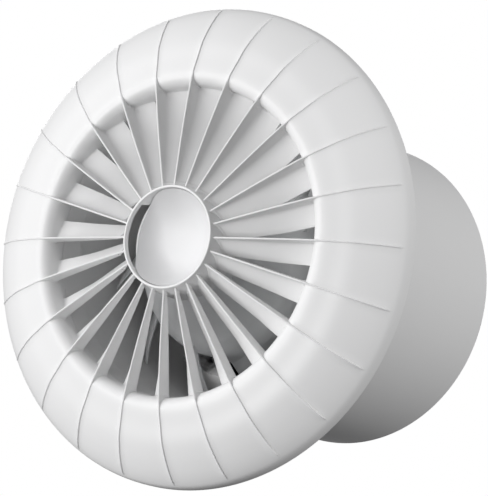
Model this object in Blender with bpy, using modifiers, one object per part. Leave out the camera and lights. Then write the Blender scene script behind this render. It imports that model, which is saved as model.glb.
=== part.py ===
"""Bathroom extractor fan for a 100 mm duct: bell-shaped front grille, casing, shaded-pole motor, impeller.

Lengths are in millimetres and the helpers turn them into metres. Every piece is modelled round the fan axis,
with local Z as depth: 0 is the wall, minus is the room, plus is the duct. Empties turn local Z to world +Y.
Clock angles run clockwise from the top as seen from the room.
"""
import math

import bmesh
import bpy
from mathutils import Matrix, Vector

MM = 0.001
GAP = 0.3                     # clearance left between pieces that touch

# Duct casing: spigot and wall flange
DUCT_RADIUS = 49.0
TUBE_WALL = 2.0
TUBE_FRONT = -9.6
TUBE_REAR = 88.7
INLET_RADIUS = 48.2           # the tube's mouth opens out to the throat of the bell
INLET_DEPTH = 7.0
SPIGOT_CHAMFER = 0.7
FLANGE_RADIUS = 73.2
FLANGE_THICK = 2.6
RIM_HEIGHT = 3.4
RIM_WALL = 1.6
FIXING_CIRCLE = 62.0
FIXING_RADIUS = 2.2
FIXING_ANGLES = (60, 120, 240, 300)
BOSS_FRONT = 58.0             # bosses inside the tube that the motor carrier is screwed to
BOSS_INNER = 40.4
BOSS_WIDTH = 8.0
PILOT_RADIUS = 1.7
COVER_SCREW_SPOT = (15.0, 57.0)
LUG_HOLE_RADIUS = 1.6
CABLE_HOLE_RADIUS = 5.2

# Front grille: bell, vanes and hub ring
BELL_OUTER = ((48.3, -10.0), (48.6, -14.6), (49.2, -16.6), (51.2, -17.8), (54.5, -17.1), (60.0, -15.3),
              (65.2, -13.0), (70.0, -9.8), (73.6, -6.6), (75.1, -4.4), (75.5, -2.4), (75.5, -0.4))
BELL_INNER = ((73.6, -0.4), (73.6, -4.0), (69.0, -8.4), (64.3, -11.3), (58.5, -13.7), (53.0, -15.3),
              (51.0, -14.8), (50.3, -10.0))
VANE_COUNT = 24
VANE_FIRST_ANGLE = -8.3
VANE_THICK = 0.9
VANE_STRIP_HUB = 0.5          # depth of the axial strip behind the front edge, at the hub and at the lip
VANE_STRIP_LIP = 5.2
VANE_REAR_HUB = -15.4         # depth of the rear edge at the hub
VANE_REAR = -10.5             # and from the middle of the vane to the lip
VANE_SWEEP_HUB = 4.2          # how far round the rear edge lies, at the hub and at the lip
VANE_SWEEP_LIP = 6.6
VANE_RADII = (16.6, 24.0, 35.0, 49.4)
VANE_EDGE_HUB = -22.0         # depth of the front edge at the hub ring
RING_INNER = 15.4
RING_FRONT = -23.2
RING_REAR = -11.0
RING_OUTER = ((17.8, RING_REAR), (17.1, -18.6), (16.4, -22.6), (16.0, RING_FRONT))
SLOT_START = 240              # the slot for a finger, from its pointed end to its square one
SLOT_END_FRONT = 318
SLOT_END_REAR = 323
SLOT_FRONT = -21.5
SLOT_SLANT = 1.3              # millimetres back for each millimetre out
CAP_RADIUS = 15.1
CAP_LOW = (-5.0, 2.0, -11.2)  # the cap's deepest spot
CAP_POWER = 3.2               # how the bowl steepens from there to its rim
CAP_RIM_DROP = 0.8            # how far the cap's rim lies behind the ring's front
CAP_SLOT_DROP = 6.0           # and how much further at the middle of the slot
CAP_SLOT_ANGLE = 288
CAP_SLOT_SPREAD = 45          # degrees each way to where the rim is about a third of the way down
CAP_THICK = 1.4
PRONG_ANGLES = (30, 150, 270)
PRONG_CIRCLE = 62.0
PRONG_RADIUS = 1.5
PRONG_FRONT = -13.5
PRONG_REAR = -4.0
SOCKET_RADIUS = 3.2
SOCKET_FRONT = -8.6

# Impeller
HUB_RADIUS = 32.0
HUB_FRONT = 7.0
HUB_REAR = 29.0
HUB_WALL = 1.7
HUB_FILLET = 6.0
SLEEVE_RADIUS = 5.0
SLEEVE_REAR = 23.5
BLADE_COUNT = 10
BLADE_TIP = 45.6
BLADE_FRONT = 14.0
BLADE_REAR = 28.2
BLADE_ROOT_ANGLE = 168.0
BLADE_LEAN = 1.1              # degrees that the blade leans back for each millimetre of radius
BLADE_PITCH = 49.0            # degrees from the fan axis
BLADE_THICK = 1.5

# Motor
SHAFT_RADIUS = 2.0
SHOULDER_RADIUS = 3.0
CORE_FRONT = 38.0
CORE_REAR = 54.0
CORE_HALF_WIDTH = 22.0
CORE_TOP = -16.0
CORE_BOTTOM = 29.0
WINDOW = (16.0, 22.0)
WINDOW_HALF_WIDTH = 13.0
BORE_RADIUS = 11.0
SCREW_OFFSET = 18.5
SCREW_RADIUS = 1.5
SHADE_ANGLES = (35, 215)
SHADE_RADII = (12.0, 16.6)
BOBBIN_HALF = 12.4
BOBBIN_WALL = 0.9
TAPE_HALF_WIDTH = 10.8
TAPE_THICK = 0.5

# Motor carrier
CARRIER_ANGLES = (0, 120, 240)
CARRIER_FRONT = 66.3
CARRIER_THICK = 3.0
CARRIER_PLATE = 25.0
CARRIER_SCREW_CIRCLE = 43.6
ARM_WIDTH = 7.0
CARRIER_HOLE = 8.0
GROMMET_NECK = 4.0            # radius of a motor grommet where it passes through the carrier
GROMMET_BORE = 1.8

# Terminals and leads, at the bottom behind the bell
GROMMET_ANGLE = 210
GROMMET_CIRCLE = 61.0
LEAD_RADIUS = 0.5
TERMINAL_OFFSET = 5.0         # of each terminal from the middle of the block
TERMINAL_SCREW = 1.6
GROOVE_HALF_WIDTH = 2.2
GROOVE_RADIUS = 48.35


def polar(radius, clock_angle, depth=0.0):
    """Point at a clock angle: local X is right and local -Y is up, as seen from the room."""
    angle = math.radians(clock_angle)
    return Vector((radius * math.sin(angle), -radius * math.cos(angle), depth))


def collection(name):
    group = bpy.data.collections.new(name)
    bpy.context.scene.collection.children.link(group)
    return group


def material(name, colour, roughness, metallic=0.0):
    surface = bpy.data.materials.new(name)
    surface.use_nodes = True
    shader = surface.node_tree.nodes["Principled BSDF"]
    shader.inputs["Base Color"].default_value = (*colour, 1.0)
    shader.inputs["Roughness"].default_value = roughness
    shader.inputs["Metallic"].default_value = metallic
    return surface


def add(name, mesh, owner):
    """Put a mesh under one of the empties as a finished part, or among the tools when owner is None."""
    thing = bpy.data.objects.new(name, mesh)
    if owner is None:
        TOOLS.objects.link(thing)
        thing.hide_render = True
        thing.display_type = "WIRE"
        thing.rotation_euler = AXIS_TURN
    else:
        PARTS.objects.link(thing)
        thing.parent = owner
    return thing


def paint(thing, coat):
    thing.data.materials.append(coat)
    return thing


def from_bmesh(name, shape, owner):
    mesh = bpy.data.meshes.new(name)
    shape.to_mesh(mesh)
    shape.free()
    return add(name, mesh, owner)


def closed_mesh(name, points, faces, owner):
    """Closed solid from points and faces, with its faces turned outwards."""
    mesh = bpy.data.meshes.new(name)
    mesh.from_pydata([point * MM for point in points], [], faces)
    shape = bmesh.new()
    shape.from_mesh(mesh)
    bmesh.ops.recalc_face_normals(shape, faces=shape.faces)
    shape.to_mesh(mesh)
    shape.free()
    return add(name, mesh, owner)


def box(name, low, high, owner=None):
    """Box between two corners."""
    low, high = Vector(low), Vector(high)
    shape = bmesh.new()
    bmesh.ops.create_cube(shape, size=1.0)
    bmesh.ops.scale(shape, vec=(high - low) * MM, verts=shape.verts)
    bmesh.ops.translate(shape, vec=(high + low) * MM / 2, verts=shape.verts)
    return from_bmesh(name, shape, owner)


def cylinder(name, radius, start, end, centre=(0, 0), sides=24, owner=None):
    """Cylinder along the fan axis from one depth to another."""
    shape = bmesh.new()
    bmesh.ops.create_cone(shape, cap_ends=True, segments=sides, radius1=radius * MM, radius2=radius * MM,
                          depth=(end - start) * MM)
    bmesh.ops.translate(shape, vec=Vector((centre[0], centre[1], (start + end) / 2)) * MM, verts=shape.verts)
    thing = from_bmesh(name, shape, owner)
    thing.data.shade_smooth()
    thing.data.set_sharp_from_angle(angle=math.radians(40))
    return thing


def turned(name, outline, steps=48, owner=None, centre=(0, 0)):
    """Turn an outline of (radius, depth) points round the axis.

    An outline that starts and ends on the axis is open; any other one is closed into a ring.
    """
    touches_axis = outline[0][0] == 0
    area = sum(a[0] * b[1] - b[0] * a[1] for a, b in zip(outline, outline[1:] + outline[:1]))
    points = outline if area < 0 else outline[::-1]
    mesh = bpy.data.meshes.new(name)
    count = len(points)
    edges = [(i, (i + 1) % count) for i in range(count - 1 if touches_axis else count)]
    mesh.from_pydata([(r * MM, 0, z * MM) for r, z in points], edges, [])
    thing = add(name, mesh, owner)
    thing.matrix_basis = thing.matrix_basis @ Matrix.Translation((centre[0] * MM, centre[1] * MM, 0))
    screw = thing.modifiers.new("turn", "SCREW")
    screw.steps = screw.render_steps = steps
    screw.use_merge_vertices = True
    screw.merge_threshold = 0.00001
    screw.use_smooth_shade = True
    return thing


def ring(name, outer, inner, start, end, centre=(0, 0), steps=24, owner=None):
    """Plain round sleeve or washer."""
    outline = [(inner, end), (outer, end), (outer, start), (inner, start)]
    return turned(name, outline, steps, owner, centre)


def sheet(name, patches, thickness, owner=None):
    """Curved sheets of even thickness: each patch is a list of rows of points."""
    verts, faces = [], []
    for rows in patches:
        first = len(verts)
        width = len(rows[0])
        verts += [point * MM for row in rows for point in row]
        for i in range(len(rows) - 1):
            for j in range(width - 1):
                corner = first + i * width + j
                faces.append((corner, corner + 1, corner + width + 1, corner + width))
    mesh = bpy.data.meshes.new(name)
    mesh.from_pydata(verts, [], faces)
    thing = add(name, mesh, owner)
    solid = thing.modifiers.new("thickness", "SOLIDIFY")
    solid.thickness = thickness * MM
    solid.offset = 0.0
    solid.use_even_offset = True
    return thing


def wire(name, points, radius, owner, closed=False):
    """Round wire along a path."""
    path = bpy.data.curves.new(name, "CURVE")
    path.dimensions = "3D"
    path.bevel_depth = radius * MM
    path.bevel_resolution = 1
    path.use_fill_caps = True
    line = path.splines.new("POLY")
    line.points.add(len(points) - 1)
    for spot, point in zip(line.points, points):
        spot.co = (*(Vector(point) * MM), 1.0)
    line.use_cyclic_u = closed
    return add(name, path, owner)


def smooth_path(points, steps=4):
    """Catmull-Rom curve through the points, as tuples."""
    spots = [Vector(p) for p in points]
    spots = [spots[0] * 2 - spots[1]] + spots + [spots[-1] * 2 - spots[-2]]
    path = []
    for before, a, b, after in zip(spots, spots[1:], spots[2:], spots[3:]):
        for i in range(steps):
            t = i / steps
            path.append(tuple(0.5 * (2 * a + (b - before) * t + (2 * before - 5 * a + 4 * b - after) * t * t
                                     + (3 * a - before - 3 * b + after) * t ** 3)))
    return path + [tuple(spots[-2])]


def fillet(centre, radius, start, end, steps):
    """Arc of points round a centre in a plane, with angles in degrees from the first axis."""
    angles = [math.radians(start + (end - start) * i / steps) for i in range(steps + 1)]
    return [(centre[0] + radius * math.cos(a), centre[1] + radius * math.sin(a)) for a in angles]


def boolean(thing, tool, operation):
    change = thing.modifiers.new(operation.lower(), "BOOLEAN")
    change.operation = operation
    change.object = tool


def cut(thing, *tools):
    for tool in tools:
        boolean(thing, tool, "DIFFERENCE")


def join(thing, *tools):
    for tool in tools:
        boolean(thing, tool, "UNION")


def bevel(thing, width, segments=1):
    edge = thing.modifiers.new("bevel", "BEVEL")
    edge.width = width * MM
    edge.segments = segments
    edge.limit_method = "ANGLE"


def turn_to(thing, clock_angle):
    """Turn a piece made on the local +X side round the axis to a clock angle."""
    turn = Matrix.Rotation(math.radians(clock_angle - 90), 4, "Z")
    thing.matrix_basis = (thing.matrix_basis if thing.parent is None else Matrix()) @ turn
    return thing


# --- front cover ---------------------------------------------------------------------------------------

def vane_edge(radius):
    """Depth of a vane's front edge: it falls back gently from the hub to the lip."""
    out = radius - VANE_RADII[0]
    return VANE_EDGE_HUB + 0.065 * out + 0.00096 * out * out


def cap_edge(clock_angle):
    """Depth of the cap's rim: just behind the ring's front, and deeper along the slot."""
    away = abs((clock_angle - CAP_SLOT_ANGLE + 180) % 360 - 180) / CAP_SLOT_SPREAD
    return RING_FRONT + CAP_RIM_DROP + CAP_SLOT_DROP * math.exp(-away ** 3.5)


def vane_rows(clock_angle):
    """Centre surface of one vane: an axial strip, deeper towards the lip, that then bends clockwise."""
    rows = []
    for radius in VANE_RADII:
        front = vane_edge(radius)
        share = (radius - VANE_RADII[0]) / (VANE_RADII[-1] - VANE_RADII[0])
        bend = front + VANE_STRIP_HUB + (VANE_STRIP_LIP - VANE_STRIP_HUB) * share ** 0.65
        rear = VANE_REAR_HUB + (VANE_REAR - VANE_REAR_HUB) * min(share / 0.6, 1.0)
        sweep = VANE_SWEEP_HUB + (VANE_SWEEP_LIP - VANE_SWEEP_HUB) * share
        row = [(front, 0.0), (bend, 0.0)]
        for t in (0.5, 1.0):
            row.append((bend + (rear - bend) * t, sweep * t ** 1.3))
        rows.append([polar(radius, clock_angle + math.degrees(side / radius), depth) for depth, side in row])
    return rows


def make_front_grille():
    grille = turned("front_grille", list(BELL_OUTER + BELL_INNER), 60, COVER)
    angles = [VANE_FIRST_ANGLE + 360 / VANE_COUNT * i for i in range(VANE_COUNT)]
    vanes = sheet("vane_blanks", [vane_rows(angle) for angle in angles], VANE_THICK)
    front_corner = (RING_INNER, RING_FRONT + GAP)
    hub = turned("hub_ring_blank", [(RING_INNER, RING_REAR), *RING_OUTER, front_corner], 40)
    join(grille, vanes, hub)
    cut(grille, slot_cutter())
    for i, angle in enumerate(PRONG_ANGLES):
        spot = polar(PRONG_CIRCLE, angle)
        join(grille, cylinder(f"prong_{i}", PRONG_RADIUS, PRONG_FRONT, PRONG_REAR, spot, 12))
    return paint(grille, WHITE_GLOSS)


def slot_cutter():
    """Clears the slot in the hub ring: it slants back from the cap's rim on its way out."""
    inner, outer = CAP_RADIUS - 1.0, RING_OUTER[0][0] + 2.0
    slant = SLOT_SLANT * (outer - inner)
    deepest = RING_REAR - 1.2
    sections = []
    for i in range(15):
        front = SLOT_START + (SLOT_END_FRONT - SLOT_START) * i / 14
        rear = SLOT_START + (SLOT_END_REAR - SLOT_START) * i / 14
        edge = cap_edge(rear)
        sections.append([polar(inner, front, SLOT_FRONT), polar(outer, front, SLOT_FRONT),
                         polar(outer, rear, min(edge + slant, deepest)), polar(inner, rear, edge)])
    width = len(sections[0])
    verts = [point for section in sections for point in section]
    faces = [tuple(range(width)), tuple(range(len(verts) - width, len(verts)))]
    for i in range(len(sections) - 1):
        for j in range(width):
            a, b = i * width + j, i * width + (j + 1) % width
            faces.append((a, b, b + width, a + width))
    return closed_mesh("slot_cutter", verts, faces, None)


def make_hub_cap():
    """Finger scoop pressed into the hub ring: a bowl whose deepest spot lies near the slot."""
    low = Vector(CAP_LOW)
    sides = 48
    steps = (0.3, 0.5, 0.65, 0.77, 0.86, 0.93, 1.0)
    front = [low]
    for t in steps:
        for i in range(sides):
            clock = 360 * i / sides
            edge = polar(CAP_RADIUS, clock, cap_edge(clock))
            spot = low.lerp(edge, t)
            front.append(Vector((spot.x, spot.y, low.z + (edge.z - low.z) * t ** CAP_POWER)))
    back = [point + Vector((0, 0, CAP_THICK)) for point in front]
    faces = []
    for i in range(sides):
        j = (i + 1) % sides
        for first in (0, len(front)):
            faces.append((first, first + 1 + i, first + 1 + j))
            for k in range(len(steps) - 1):
                inner, outer = first + 1 + k * sides, first + 1 + (k + 1) * sides
                faces.append((inner + i, outer + i, outer + j, inner + j))
        rim = 1 + (len(steps) - 1) * sides
        faces.append((rim + i, rim + j, rim + j + len(front), rim + i + len(front)))
    cap = closed_mesh("hub_cap", front + back, faces, COVER)
    cap.data.shade_smooth()
    cap.data.set_sharp_from_angle(angle=math.radians(40))
    return paint(cap, WHITE_GLOSS)


# --- casing --------------------------------------------------------------------------------------------

def make_duct_casing():
    inner = DUCT_RADIUS - TUBE_WALL
    rim = FLANGE_RADIUS - RIM_WALL
    outline = [(inner, TUBE_FRONT + INLET_DEPTH), (INLET_RADIUS, TUBE_FRONT), (DUCT_RADIUS, TUBE_FRONT),
               (DUCT_RADIUS, -FLANGE_THICK), (rim, -FLANGE_THICK), (rim, -RIM_HEIGHT),
               (FLANGE_RADIUS, -RIM_HEIGHT), (FLANGE_RADIUS, 0.0), (DUCT_RADIUS, 0.0),
               (DUCT_RADIUS, TUBE_REAR - SPIGOT_CHAMFER), (DUCT_RADIUS - SPIGOT_CHAMFER, TUBE_REAR),
               (inner, TUBE_REAR)]
    casing = turned("duct_casing", outline, 60, CASING)
    boss_rear = CARRIER_FRONT - GAP
    for i, angle in enumerate(CARRIER_ANGLES):
        boss = box(f"carrier_boss_{i}", (BOSS_INNER, -BOSS_WIDTH / 2, BOSS_FRONT),
                   (inner + 1.0, BOSS_WIDTH / 2, boss_rear))
        join(casing, turn_to(boss, angle))
        hole = polar(CARRIER_SCREW_CIRCLE, angle)
        cut(casing, cylinder(f"carrier_pilot_{i}", PILOT_RADIUS, BOSS_FRONT + 1.0, boss_rear + 1.0, hole, 12))
    through_flange = (-FLANGE_THICK - 2.0, 1.0)
    for i, angle in enumerate(PRONG_ANGLES):
        spot = polar(PRONG_CIRCLE, angle)
        join(casing, cylinder(f"socket_{i}", SOCKET_RADIUS, SOCKET_FRONT, -FLANGE_THICK / 2, spot, 16))
        cut(casing, cylinder(f"socket_bore_{i}", PRONG_RADIUS + GAP, SOCKET_FRONT - 1.0, 1.0, spot, 12))
    for i, angle in enumerate(FIXING_ANGLES):
        spot = polar(FIXING_CIRCLE, angle)
        cut(casing, cylinder(f"fixing_hole_{i}", FIXING_RADIUS, *through_flange, spot, 12))
    cable_spot = polar(GROMMET_CIRCLE, GROMMET_ANGLE)
    cut(casing, cylinder("cable_hole", CABLE_HOLE_RADIUS, *through_flange, cable_spot, 20))
    cut(casing, cylinder("cover_screw_hole", LUG_HOLE_RADIUS, *through_flange, COVER_SCREW_SPOT, 12))
    half = GROOVE_HALF_WIDTH
    cut(casing, box("lead_groove", (-half, inner - 3.0, -5.0), (half, GROOVE_RADIUS, 56.0)))
    cut(casing, box("lead_window", (-half, inner - 3.0, -7.6), (half, DUCT_RADIUS + 2.0, -3.4)))
    return paint(casing, WHITE_MATT)


def make_motor_carrier():
    rear = CARRIER_FRONT + CARRIER_THICK
    through = (CARRIER_FRONT - 2.0, rear + 2.0)
    carrier = cylinder("motor_carrier", CARRIER_PLATE, CARRIER_FRONT, rear, sides=36, owner=CASING)
    for i, angle in enumerate(CARRIER_ANGLES):
        arm = box(f"arm_blank_{i}", (20.0, -ARM_WIDTH / 2, CARRIER_FRONT), (46.4, ARM_WIDTH / 2, rear))
        join(carrier, turn_to(arm, angle))
        hole = polar(CARRIER_SCREW_CIRCLE, angle)
        cut(carrier, cylinder(f"arm_hole_{i}", PILOT_RADIUS, *through, hole, 12))
    cut(carrier, cylinder("carrier_centre_hole", CARRIER_HOLE, *through, sides=24))
    for side in (-1, 1):
        spot = (side * SCREW_OFFSET, 0)
        cut(carrier, cylinder(f"grommet_hole_{side + 1}", GROMMET_NECK + GAP, *through, spot, 16))
    return paint(carrier, WHITE_MATT)


def make_carrier_screws():
    head = CARRIER_FRONT + CARRIER_THICK + GAP
    outline = [(0, 60.2), (1.4, 60.8), (1.4, head), (2.8, head), (2.6, head + 1.3), (1.6, head + 1.9),
               (0, head + 2.0)]
    for i, angle in enumerate(CARRIER_ANGLES):
        centre = polar(CARRIER_SCREW_CIRCLE, angle)
        paint(turned(f"carrier_screw_{i + 1}", outline, 12, CASING, centre), STEEL)


# --- motor ---------------------------------------------------------------------------------------------

def make_stator_core():
    half = CORE_HALF_WIDTH
    core = box("stator_core", (-half, CORE_TOP, CORE_FRONT), (half, CORE_BOTTOM, CORE_REAR), CASING)
    through = (CORE_FRONT - 2, CORE_REAR + 2)
    cut(core, cylinder("rotor_bore", BORE_RADIUS, *through, sides=32))
    cut(core, box("winding_window", (-WINDOW_HALF_WIDTH, WINDOW[0], through[0]),
                  (WINDOW_HALF_WIDTH, WINDOW[1], through[1])))
    for side in (-1, 1):
        spot = (side * SCREW_OFFSET, 0)
        cut(core, cylinder(f"core_hole_{side + 1}", SCREW_RADIUS + 0.4, *through, spot, 12))
    for i, angle in enumerate(SHADE_ANGLES):
        for j, radius in enumerate(SHADE_RADII):
            spot = Matrix.Rotation(math.radians(angle), 3, "Z") @ Vector((radius, 0, 0))
            cut(core, cylinder(f"shade_slot_{i}_{j}", 1.3, *through, spot, 12))
    return paint(core, LAMINATION)


def make_shading_rings():
    """Copper loops round a third of each pole, which make the field lean so that the rotor starts."""
    low, high = CORE_FRONT - 1.3, CORE_REAR + 1.3
    for i, angle in enumerate(SHADE_ANGLES):
        turn = Matrix.Rotation(math.radians(angle), 3, "Z")
        loop = [(SHADE_RADII[0] + 0.2, low), (SHADE_RADII[1], low), (SHADE_RADII[1], high),
                (SHADE_RADII[0] + 0.2, high)]
        points = [turn @ Vector((radius, 0, depth)) for radius, depth in loop]
        paint(wire(f"shading_ring_{i + 1}", points, 0.8, CASING, closed=True), COPPER)


def make_coil():
    """Bobbin round the lower limb of the core, with its winding."""
    low, high = WINDOW[1], CORE_BOTTOM
    wall = GAP + BOBBIN_WALL
    bobbin = box("coil_bobbin", (-BOBBIN_HALF, low - wall, CORE_FRONT - wall),
                 (BOBBIN_HALF, high + wall, CORE_REAR + wall), CASING)
    for side in (-1, 1):
        left = side * (BOBBIN_HALF - 0.5) - 0.5
        join(bobbin, box(f"bobbin_flange_{side + 1}", (left, 16.5, 31.6), (left + 1.0, 34.5, 60.4)))
    cut(bobbin, box("limb_hole", (-14.0, low - GAP, CORE_FRONT - GAP), (14.0, high + GAP, CORE_REAR + GAP)))
    paint(bobbin, BLACK_NYLON)
    winding = box("coil_winding", (-11.1, 17.5, 32.7), (11.1, 33.5, 59.3), CASING)
    bevel(winding, 2.0, 3)
    clear = wall + GAP
    cut(winding, box("winding_core", (-BOBBIN_HALF, low - clear, CORE_FRONT - clear),
                     (BOBBIN_HALF, high + clear, CORE_REAR + clear)))
    paint(winding, COPPER)


def make_coil_tape():
    """Insulating tape once round the winding; its ends nearly meet underneath."""
    near, far = 16.95, 34.05
    front, rear = 32.15, 59.85
    middle = (front + rear) / 2
    corner = 2.2
    loop = [(far, middle + GAP)]
    loop += fillet((far - corner, rear - corner), corner, 0, 90, 3)
    loop += fillet((near + corner, rear - corner), corner, 90, 180, 3)
    loop += fillet((near + corner, front + corner), corner, 180, 270, 3)
    loop += fillet((far - corner, front + corner), corner, 270, 360, 3)
    loop += [(far, middle - GAP)]
    rows = [[Vector((x, y, depth)) for y, depth in loop] for x in (-TAPE_HALF_WIDTH, TAPE_HALF_WIDTH)]
    paint(sheet("coil_tape", [rows], TAPE_THICK, CASING), TAPE)


def make_bearing_bracket(name, foot, strap, boss_front, boss_rear):
    """Pressed strap with a foot on each side of the core and a bearing boss in the middle."""
    bends = [(-22, foot), (-14.4, foot), (-12, strap), (12, strap), (14.4, foot), (22, foot)]
    rows = [[Vector((x, y, depth)) for x, depth in bends] for y in (-7.0, 7.0)]
    bracket = sheet(name, [rows], 1.4, CASING)
    join(bracket, cylinder(f"{name}_boss", 6.8, boss_front, boss_rear, sides=20))
    cut(bracket, cylinder(f"{name}_bore", 4.8, 20.0, 70.0, sides=20))
    for side in (-1, 1):
        hole = cylinder(f"{name}_hole_{side + 1}", SCREW_RADIUS + 0.4, foot - 3, foot + 3,
                        (side * SCREW_OFFSET, 0), 16)
        cut(bracket, hole)
    paint(bracket, ZINC)


def make_motor_fixings():
    """Long screws through the motor, with spacers, rubber grommets and nuts at the carrier."""
    rear = CARRIER_FRONT + CARRIER_THICK
    screw = [(0, 34.2), (2.6, 34.4), (2.8, 36.0), (SCREW_RADIUS, 36.0), (SCREW_RADIUS, 74.4), (0, 74.8)]
    front_face, rear_face = CARRIER_FRONT - GAP, rear + GAP
    grommet = [(GROMMET_BORE, 64.5), (5.6, 64.5), (5.6, front_face), (GROMMET_NECK, front_face),
               (GROMMET_NECK, rear_face), (5.6, rear_face), (5.6, rear + 1.8), (GROMMET_BORE, rear + 1.8)]
    for i, side in enumerate((-1, 1)):
        spot = (side * SCREW_OFFSET, 0)
        paint(turned(f"motor_screw_{i + 1}", screw, 12, CASING, spot), STEEL)
        paint(ring(f"motor_spacer_{i + 1}", 3.0, GROMMET_BORE, 56.0, 64.2, spot, 16, CASING), NYLON)
        paint(turned(f"motor_grommet_{i + 1}", grommet, 16, CASING, spot), RUBBER)
        nut = cylinder(f"motor_nut_{i + 1}", 3.2, rear + 2.1, rear + 4.5, spot, 6, CASING)
        cut(nut, cylinder(f"nut_thread_{i}", SCREW_RADIUS + GAP, 60.0, 80.0, spot, 16))
        nut.data.shade_flat()
        paint(nut, STEEL)


def make_bearings():
    paint(ring("front_bearing", 4.5, SHAFT_RADIUS + GAP, 26.0, 32.0, steps=20, owner=CASING), BRONZE)
    paint(ring("rear_bearing", 4.5, SHAFT_RADIUS + GAP, 60.0, 66.0, steps=20, owner=CASING), BRONZE)


def make_rotor():
    shaft = [(0, 4.6), (SHAFT_RADIUS - 0.4, 4.6), (SHAFT_RADIUS, 5.0), (SHAFT_RADIUS, 33.5),
             (SHOULDER_RADIUS, 33.5), (SHOULDER_RADIUS, 58.5), (SHAFT_RADIUS, 58.5), (SHAFT_RADIUS, 67.2),
             (SHAFT_RADIUS - 0.4, 67.6), (0, 67.6)]
    paint(turned("motor_shaft", shaft, 16, ROTOR), STEEL)
    stack = ring("rotor_core", BORE_RADIUS - 0.5, SHOULDER_RADIUS + GAP, 38.5, 53.5, steps=32, owner=ROTOR)
    paint(stack, LAMINATION)
    for name, start in (("rotor_end_ring_front", 36.4), ("rotor_end_ring_rear", 53.8)):
        paint(ring(name, 9.8, 6.0, start, start + 1.8, owner=ROTOR), ALUMINIUM)
    for name, start in (("thrust_washer_front", 32.4), ("thrust_washer_rear", 58.8)):
        paint(ring(name, 4.0, SHAFT_RADIUS + GAP, start, start + 0.8, steps=20, owner=ROTOR), FIBRE)


# --- impeller ------------------------------------------------------------------------------------------

def blade_rows(clock_angle):
    """Centre surface of one blade: pitched clockwise on its way back, and leaning back towards its tip."""
    rows = []
    for i in range(3):
        radius = HUB_RADIUS - 0.8 + (BLADE_TIP - HUB_RADIUS + 0.8) * i / 2
        row = []
        for depth in (BLADE_FRONT, (BLADE_FRONT + BLADE_REAR) / 2, BLADE_REAR):
            side = (depth - BLADE_FRONT) * math.tan(math.radians(BLADE_PITCH))
            angle = clock_angle - BLADE_LEAN * (radius - HUB_RADIUS) + math.degrees(side / radius)
            row.append(polar(radius, angle, depth))
        rows.append(row)
    return rows


def make_impeller():
    corner = (HUB_RADIUS - HUB_FILLET, HUB_FRONT + HUB_FILLET)
    outside = fillet(corner, HUB_FILLET, -90, 0, 4) + [(HUB_RADIUS, HUB_REAR)]
    inside = [(HUB_RADIUS - HUB_WALL, HUB_REAR)] + fillet(corner, HUB_FILLET - HUB_WALL, 0, -90, 3)
    bore = SHAFT_RADIUS + GAP
    sleeve = [(SLEEVE_RADIUS, HUB_FRONT + HUB_WALL), (SLEEVE_RADIUS, SLEEVE_REAR), (bore, SLEEVE_REAR),
              (bore, HUB_FRONT)]
    impeller = turned("impeller", outside + inside + sleeve, 40, ROTOR)
    roots = [BLADE_ROOT_ANGLE + 360 / BLADE_COUNT * i for i in range(BLADE_COUNT)]
    join(impeller, sheet("blade_blanks", [blade_rows(root) for root in roots], BLADE_THICK))
    return paint(impeller, WHITE_MATT)


def make_impeller_clip():
    """Push-on spring retainer at the front end of the shaft."""
    return paint(ring("impeller_clip", 4.4, SHAFT_RADIUS + GAP, 5.9, 6.7, steps=24, owner=ROTOR), STEEL)


# --- electrics -----------------------------------------------------------------------------------------

def make_terminals():
    block = box("terminal_block", (-10.0, 52.0, -8.9), (10.0, 61.0, -FLANGE_THICK - GAP), CASING)
    screw = [(0, -9.2), (1.4, -9.2), (TERMINAL_SCREW, -8.9), (TERMINAL_SCREW, -4.9), (0, -4.9)]
    for i, side in enumerate((-1, 1)):
        spot = (side * TERMINAL_OFFSET, 58.0)
        cut(block, cylinder(f"terminal_well_{i}", TERMINAL_SCREW + GAP, -12.0, -4.6, spot, 16))
        cut(block, box(f"wire_entry_{i}", (spot[0] - 1.1, 50.0, -7.2), (spot[0] + 1.1, 55.0, -5.0)))
        paint(turned(f"terminal_screw_{i + 1}", screw, 16, CASING, spot), BRASS)
    paint(block, NYLON)


def make_terminal_cover():
    top, foot = -10.4, -FLANGE_THICK - GAP
    cover = box("terminal_cover", (-12.2, 50.4, top), (12.2, 62.4, foot), CASING)
    join(cover, box("cover_lug", (12.0, 54.0, foot - 1.5), (18.0, 60.0, foot)))
    cut(cover, box("cover_inside", (-11.2, 51.4, top + 0.9), (11.2, 61.4, foot + 2.0)))
    cut(cover, box("lead_notch", (-6.8, 49.0, -8.4), (6.8, 52.0, foot + 2.0)))
    cut(cover, box("cable_notch", (-14.0, 53.5, -8.4), (-11.0, 59.5, foot + 2.0)))
    cut(cover, cylinder("lug_hole", LUG_HOLE_RADIUS, -6.0, 0.0, COVER_SCREW_SPOT, 12))
    paint(cover, WHITE_MATT)
    screw = [(0, -6.5), (1.6, -6.4), (2.6, -5.8), (2.7, -4.7), (1.3, -4.7), (1.3, -0.9), (0, -0.5)]
    paint(turned("terminal_cover_screw", screw, 16, CASING, COVER_SCREW_SPOT), STEEL)


def make_cable_grommet():
    collar = -FLANGE_THICK - GAP
    neck = CABLE_HOLE_RADIUS - GAP
    outline = [(3.2, -0.2), (neck, -0.2), (neck, collar), (6.6, collar), (6.6, collar - 1.2),
               (5.8, collar - 1.9), (3.2, collar - 1.9)]
    centre = polar(GROMMET_CIRCLE, GROMMET_ANGLE)
    return paint(turned("cable_grommet", outline, 20, CASING, centre), RUBBER)


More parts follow.
